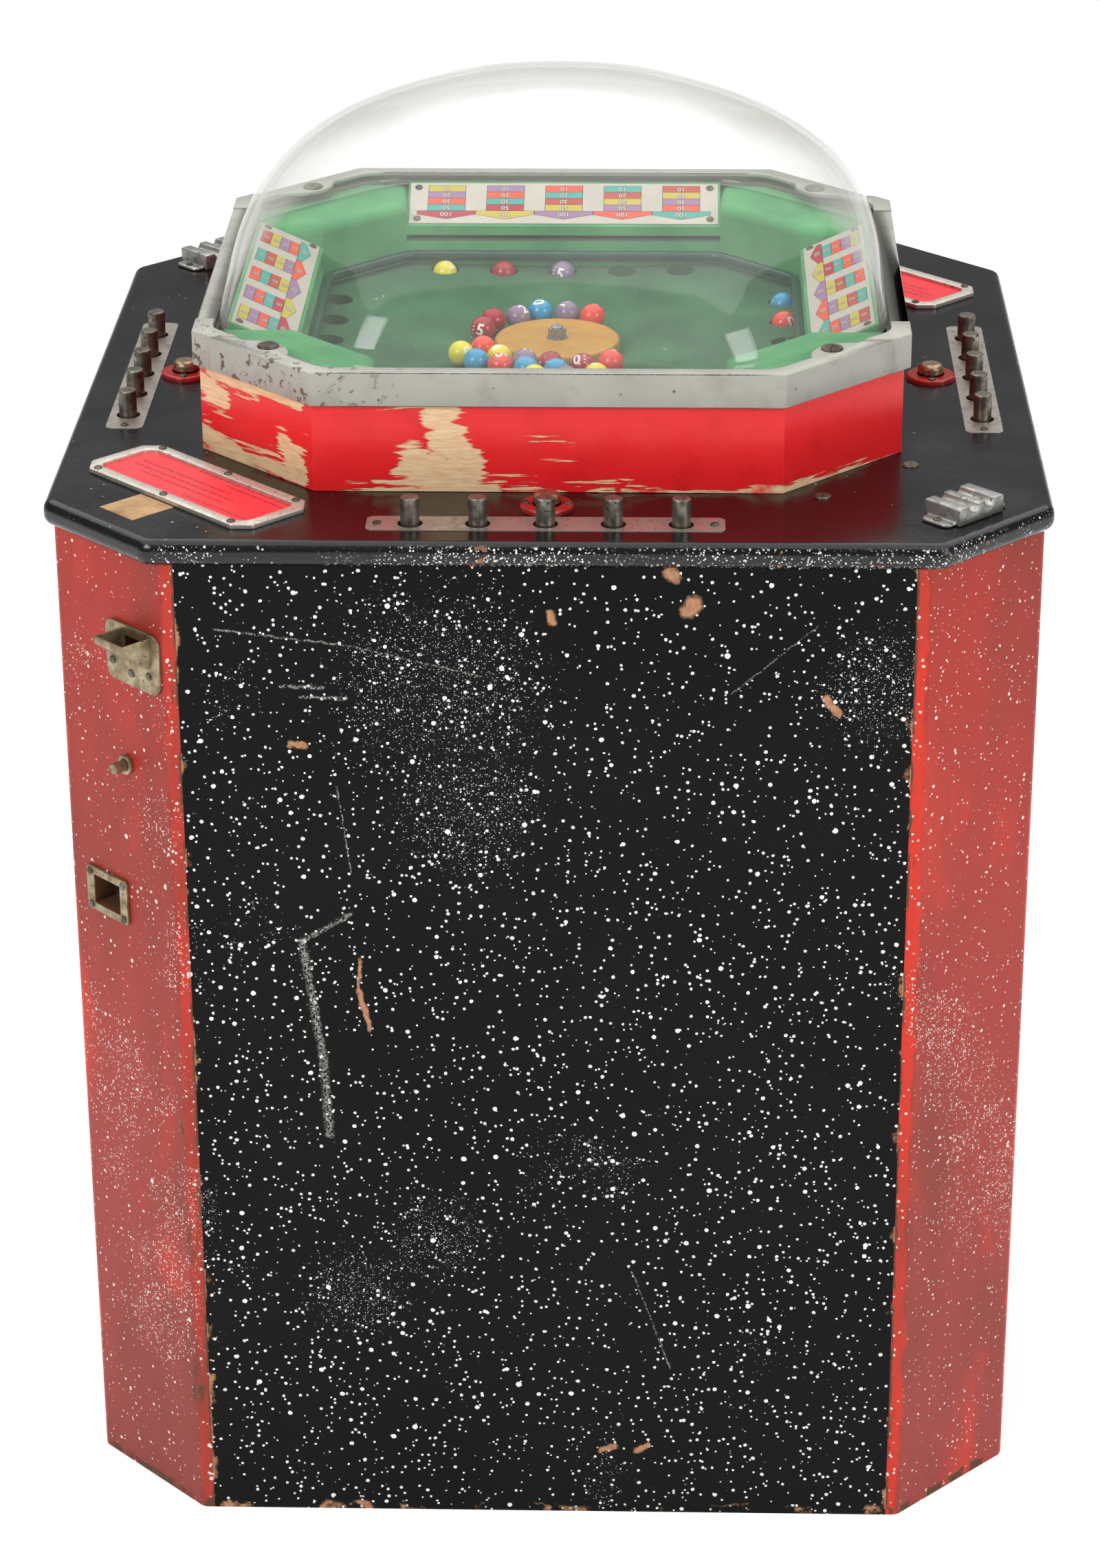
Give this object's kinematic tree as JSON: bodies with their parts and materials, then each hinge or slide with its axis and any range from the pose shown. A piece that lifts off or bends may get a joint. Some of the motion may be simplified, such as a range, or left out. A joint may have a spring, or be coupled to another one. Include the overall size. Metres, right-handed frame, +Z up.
{
  "type": "four-player bubble-top ball game",
  "caption": "Free-standing coin-operated ball game: chamfered cabinet, press keys on four sides, dished felt playfield with a spinning disc under a clear bubble.",
  "frame": {"origin": "centre of the footprint on the floor", "axes": "+X to the right and +Y to the back, seen from the side whose left corner carries the coin fittings; +Z up"},
  "size_m": [0.772, 0.7747, 1.1145],
  "materials": {
    "button_steel": "tarnished turned steel",
    "spin_button_metal": "worn nickel over brass",
    "black_speckled_paint": "painted plywood with white spatter",
    "red_speckled_paint": "painted plywood with white spatter",
    "bare_plywood": "raw",
    "black_moulding": "moulded",
    "zinc_steel": "zinc plated",
    "black_lacquer": "gloss lacquer over plywood",
    "nickel_plate": "dull nickel",
    "red_enamel": "glossy enamel",
    "red_gloss_paint": "gloss paint over plywood",
    "grey_enamel": "satin enamel",
    "clear_acrylic": "clear, blown",
    "green_felt": "felt over board",
    "green_felt_walls": "felt over board",
    "printed_card": "printed card",
    "green_gloss_tube": "gloss enamel",
    "ochre_disc": "lacquered fibreboard",
    "motor_steel": "hammered enamel",
    "ball_yellow_enamel": "polished",
    "ball_crimson_enamel": "polished",
    "ball_mauve_enamel": "polished",
    "ball_blue_enamel": "polished",
    "ball_coral_enamel": "polished",
    "ball_mixed_enamel": "polished, five colours",
    "nickel_frame": "dull nickel",
    "red_card": "faded card",
    "cast_nickel": "cast, worn",
    "worn_nickel_brass": "worn nickel with paint spots",
    "screw_nickel": "tarnished"
  },
  "bodies": {
    "cabinet": {"base_board": "bare_plywood", "bumper_rail": "green_gloss_tube", "button_plates": "nickel_plate", "cigarette_rests": "cast_nickel", "coin_corner_panel": "red_speckled_paint", "coin_fittings": "worn_nickel_brass", "coin_mechanism": "zinc_steel", "cord_gland": "black_moulding", "corner_panels": "red_speckled_paint", "dome": "clear_acrylic", "dome_frame": "grey_enamel", "door_hinges": "zinc_steel", "instruction_cards": "red_card", "instruction_frames": "nickel_frame", "key_pivot_rods": "zinc_steel", "playfield": "green_felt", "plinth": "red_gloss_paint", "pocket_blocks": "green_felt", "score_cards": "printed_card", "screws": "screw_nickel", "side_panels": "black_speckled_paint", "spin_button_flanges": "red_enamel", "spin_motor": "motor_steel", "top_board": "black_lacquer", "well_walls": "green_felt_walls"},
    "rear_door": {"rear_door": "black_speckled_paint"},
    "door_lock": {"door_lock": "zinc_steel"},
    "coin_button": {"coin_button": "button_steel"},
    "spin_disc": {"spin_disc": "ochre_disc", "spindle": "zinc_steel"},
    "loose_balls": {"loose_balls": "ball_mixed_enamel"},
    "ball_blue": {"ball_blue": "ball_blue_enamel"},
    "ball_coral": {"ball_coral": "ball_coral_enamel"},
    "ball_crimson": {"ball_crimson": "ball_crimson_enamel"},
    "ball_mauve": {"ball_mauve": "ball_mauve_enamel"},
    "ball_yellow": {"ball_yellow": "ball_yellow_enamel"},
    "key_front_1": {"key_front_1": "button_steel"},
    "key_front_2": {"key_front_2": "button_steel"},
    "key_front_3": {"key_front_3": "button_steel"},
    "key_front_4": {"key_front_4": "button_steel"},
    "key_front_5": {"key_front_5": "button_steel"},
    "key_left_1": {"key_left_1": "button_steel"},
    "key_left_2": {"key_left_2": "button_steel"},
    "key_left_3": {"key_left_3": "button_steel"},
    "key_left_4": {"key_left_4": "button_steel"},
    "key_left_5": {"key_left_5": "button_steel"},
    "key_rear_1": {"key_rear_1": "button_steel"},
    "key_rear_2": {"key_rear_2": "button_steel"},
    "key_rear_3": {"key_rear_3": "button_steel"},
    "key_rear_4": {"key_rear_4": "button_steel"},
    "key_rear_5": {"key_rear_5": "button_steel"},
    "key_right_1": {"key_right_1": "button_steel"},
    "key_right_2": {"key_right_2": "button_steel"},
    "key_right_3": {"key_right_3": "button_steel"},
    "key_right_4": {"key_right_4": "button_steel"},
    "key_right_5": {"key_right_5": "button_steel"},
    "spin_button_front": {"spin_button_front": "spin_button_metal"},
    "spin_button_left": {"spin_button_left": "spin_button_metal"},
    "spin_button_rear": {"spin_button_rear": "spin_button_metal"},
    "spin_button_right": {"spin_button_right": "spin_button_metal"}
  },
  "joints": [
    {"name": "key_front_1_rock", "type": "hinge", "parent": "cabinet", "child": "key_front_1", "pos_m": [-0.102, -0.246, 0.848], "axis": [1, 0, 0], "range_deg": [0, 5.88], "stiffness_Nm_per_rad": 2, "springref_deg": -6.88},
    {"name": "key_front_2_rock", "type": "hinge", "parent": "cabinet", "child": "key_front_2", "pos_m": [-0.051, -0.246, 0.848], "axis": [1, 0, 0], "range_deg": [0, 5.88], "stiffness_Nm_per_rad": 2, "springref_deg": -6.88},
    {"name": "key_front_3_rock", "type": "hinge", "parent": "cabinet", "child": "key_front_3", "pos_m": [0, -0.246, 0.848], "axis": [1, 0, 0], "range_deg": [0, 5.88], "stiffness_Nm_per_rad": 2, "springref_deg": -6.88},
    {"name": "key_front_4_rock", "type": "hinge", "parent": "cabinet", "child": "key_front_4", "pos_m": [0.051, -0.246, 0.848], "axis": [1, 0, 0], "range_deg": [0, 5.88], "stiffness_Nm_per_rad": 2, "springref_deg": -6.88},
    {"name": "key_front_5_rock", "type": "hinge", "parent": "cabinet", "child": "key_front_5", "pos_m": [0.102, -0.246, 0.848], "axis": [1, 0, 0], "range_deg": [0, 5.88], "stiffness_Nm_per_rad": 2, "springref_deg": -6.88},
    {"name": "spin_button_front_press", "type": "slide", "parent": "cabinet", "child": "spin_button_front", "axis": [0, 0, -1], "range_m": [0, 0.0045], "stiffness_N_per_m": 300, "springref_m": -0.003},
    {"name": "key_right_1_rock", "type": "hinge", "parent": "cabinet", "child": "key_right_1", "pos_m": [0.246, -0.102, 0.848], "axis": [0, 1, 0], "range_deg": [0, 5.88], "stiffness_Nm_per_rad": 2, "springref_deg": -6.88},
    {"name": "key_right_2_rock", "type": "hinge", "parent": "cabinet", "child": "key_right_2", "pos_m": [0.246, -0.051, 0.848], "axis": [0, 1, 0], "range_deg": [0, 5.88], "stiffness_Nm_per_rad": 2, "springref_deg": -6.88},
    {"name": "key_right_3_rock", "type": "hinge", "parent": "cabinet", "child": "key_right_3", "pos_m": [0.246, 0, 0.848], "axis": [0, 1, 0], "range_deg": [0, 5.88], "stiffness_Nm_per_rad": 2, "springref_deg": -6.88},
    {"name": "key_right_4_rock", "type": "hinge", "parent": "cabinet", "child": "key_right_4", "pos_m": [0.246, 0.051, 0.848], "axis": [0, 1, 0], "range_deg": [0, 5.88], "stiffness_Nm_per_rad": 2, "springref_deg": -6.88},
    {"name": "ball_coral_kick", "type": "slide", "parent": "cabinet", "child": "ball_coral", "axis": [-0.342, 0, 0.9397], "range_m": [0, 0.0043]},
    {"name": "key_right_5_rock", "type": "hinge", "parent": "cabinet", "child": "key_right_5", "pos_m": [0.246, 0.102, 0.848], "axis": [0, 1, 0], "range_deg": [0, 5.88], "stiffness_Nm_per_rad": 2, "springref_deg": -6.88},
    {"name": "ball_blue_kick", "type": "slide", "parent": "cabinet", "child": "ball_blue", "axis": [-0.342, 0, 0.9397], "range_m": [0, 0.0043]},
    {"name": "spin_button_right_press", "type": "slide", "parent": "cabinet", "child": "spin_button_right", "axis": [0, 0, -1], "range_m": [0, 0.0045], "stiffness_N_per_m": 300, "springref_m": -0.003},
    {"name": "key_rear_1_rock", "type": "hinge", "parent": "cabinet", "child": "key_rear_1", "pos_m": [0.102, 0.246, 0.848], "axis": [-1, 0, 0], "range_deg": [0, 5.88], "stiffness_Nm_per_rad": 2, "springref_deg": -6.88},
    {"name": "key_rear_2_rock", "type": "hinge", "parent": "cabinet", "child": "key_rear_2", "pos_m": [0.051, 0.246, 0.848], "axis": [-1, 0, 0], "range_deg": [0, 5.88], "stiffness_Nm_per_rad": 2, "springref_deg": -6.88},
    {"name": "key_rear_3_rock", "type": "hinge", "parent": "cabinet", "child": "key_rear_3", "pos_m": [0, 0.246, 0.848], "axis": [-1, 0, 0], "range_deg": [0, 5.88], "stiffness_Nm_per_rad": 2, "springref_deg": -6.88},
    {"name": "ball_mauve_kick", "type": "slide", "parent": "cabinet", "child": "ball_mauve", "axis": [0, -0.342, 0.9397], "range_m": [0, 0.0043]},
    {"name": "key_rear_4_rock", "type": "hinge", "parent": "cabinet", "child": "key_rear_4", "pos_m": [-0.051, 0.246, 0.848], "axis": [-1, 0, 0], "range_deg": [0, 5.88], "stiffness_Nm_per_rad": 2, "springref_deg": -6.88},
    {"name": "ball_crimson_kick", "type": "slide", "parent": "cabinet", "child": "ball_crimson", "axis": [0, -0.342, 0.9397], "range_m": [0, 0.0043]},
    {"name": "key_rear_5_rock", "type": "hinge", "parent": "cabinet", "child": "key_rear_5", "pos_m": [-0.102, 0.246, 0.848], "axis": [-1, 0, 0], "range_deg": [0, 5.88], "stiffness_Nm_per_rad": 2, "springref_deg": -6.88},
    {"name": "ball_yellow_kick", "type": "slide", "parent": "cabinet", "child": "ball_yellow", "axis": [0, -0.342, 0.9397], "range_m": [0, 0.0043]},
    {"name": "spin_button_rear_press", "type": "slide", "parent": "cabinet", "child": "spin_button_rear", "axis": [0, 0, -1], "range_m": [0, 0.0045], "stiffness_N_per_m": 300, "springref_m": -0.003},
    {"name": "key_left_1_rock", "type": "hinge", "parent": "cabinet", "child": "key_left_1", "pos_m": [-0.246, 0.102, 0.848], "axis": [0, -1, 0], "range_deg": [0, 5.88], "stiffness_Nm_per_rad": 2, "springref_deg": -6.88},
    {"name": "key_left_2_rock", "type": "hinge", "parent": "cabinet", "child": "key_left_2", "pos_m": [-0.246, 0.051, 0.848], "axis": [0, -1, 0], "range_deg": [0, 5.88], "stiffness_Nm_per_rad": 2, "springref_deg": -6.88},
    {"name": "key_left_3_rock", "type": "hinge", "parent": "cabinet", "child": "key_left_3", "pos_m": [-0.246, 0, 0.848], "axis": [0, -1, 0], "range_deg": [0, 5.88], "stiffness_Nm_per_rad": 2, "springref_deg": -6.88},
    {"name": "key_left_4_rock", "type": "hinge", "parent": "cabinet", "child": "key_left_4", "pos_m": [-0.246, -0.051, 0.848], "axis": [0, -1, 0], "range_deg": [0, 5.88], "stiffness_Nm_per_rad": 2, "springref_deg": -6.88},
    {"name": "key_left_5_rock", "type": "hinge", "parent": "cabinet", "child": "key_left_5", "pos_m": [-0.246, -0.102, 0.848], "axis": [0, -1, 0], "range_deg": [0, 5.88], "stiffness_Nm_per_rad": 2, "springref_deg": -6.88},
    {"name": "spin_button_left_press", "type": "slide", "parent": "cabinet", "child": "spin_button_left", "axis": [0, 0, -1], "range_m": [0, 0.0045], "stiffness_N_per_m": 300, "springref_m": -0.003},
    {"name": "coin_button_press", "type": "slide", "parent": "cabinet", "child": "coin_button", "axis": [0.7071, 0.7071, 0], "range_m": [0, 0.006], "stiffness_N_per_m": 300, "springref_m": -0.003},
    {"name": "disc_spin", "type": "hinge", "parent": "cabinet", "child": "spin_disc", "pos_m": [0, 0, 0.89], "axis": [0, 0, 1], "continuous": true},
    {"name": "balls_carried_round", "type": "hinge", "parent": "cabinet", "child": "loose_balls", "pos_m": [0, 0, 0.89], "axis": [0, 0, 1], "continuous": true},
    {"name": "door_swing", "type": "hinge", "parent": "cabinet", "child": "rear_door", "pos_m": [0.277, 0.3831, 0.42], "axis": [0, 0, -1], "range_deg": [0, 110]},
    {"name": "lock_turn", "type": "hinge", "parent": "rear_door", "child": "door_lock", "pos_m": [-0.24, 0.38, 0.43], "axis": [0, 1, 0], "range_deg": [0, 90]}
  ],
  "couplings": [
    {"joint": "ball_coral_kick", "follows": "key_right_4_rock", "m_per_rad": 0.04144},
    {"joint": "ball_blue_kick", "follows": "key_right_5_rock", "m_per_rad": 0.04144},
    {"joint": "ball_mauve_kick", "follows": "key_rear_3_rock", "m_per_rad": 0.04144},
    {"joint": "ball_crimson_kick", "follows": "key_rear_4_rock", "m_per_rad": 0.04144},
    {"joint": "ball_yellow_kick", "follows": "key_rear_5_rock", "m_per_rad": 0.04144},
    {"joint": "balls_carried_round", "follows": "disc_spin", "ratio": 1}
  ]
}
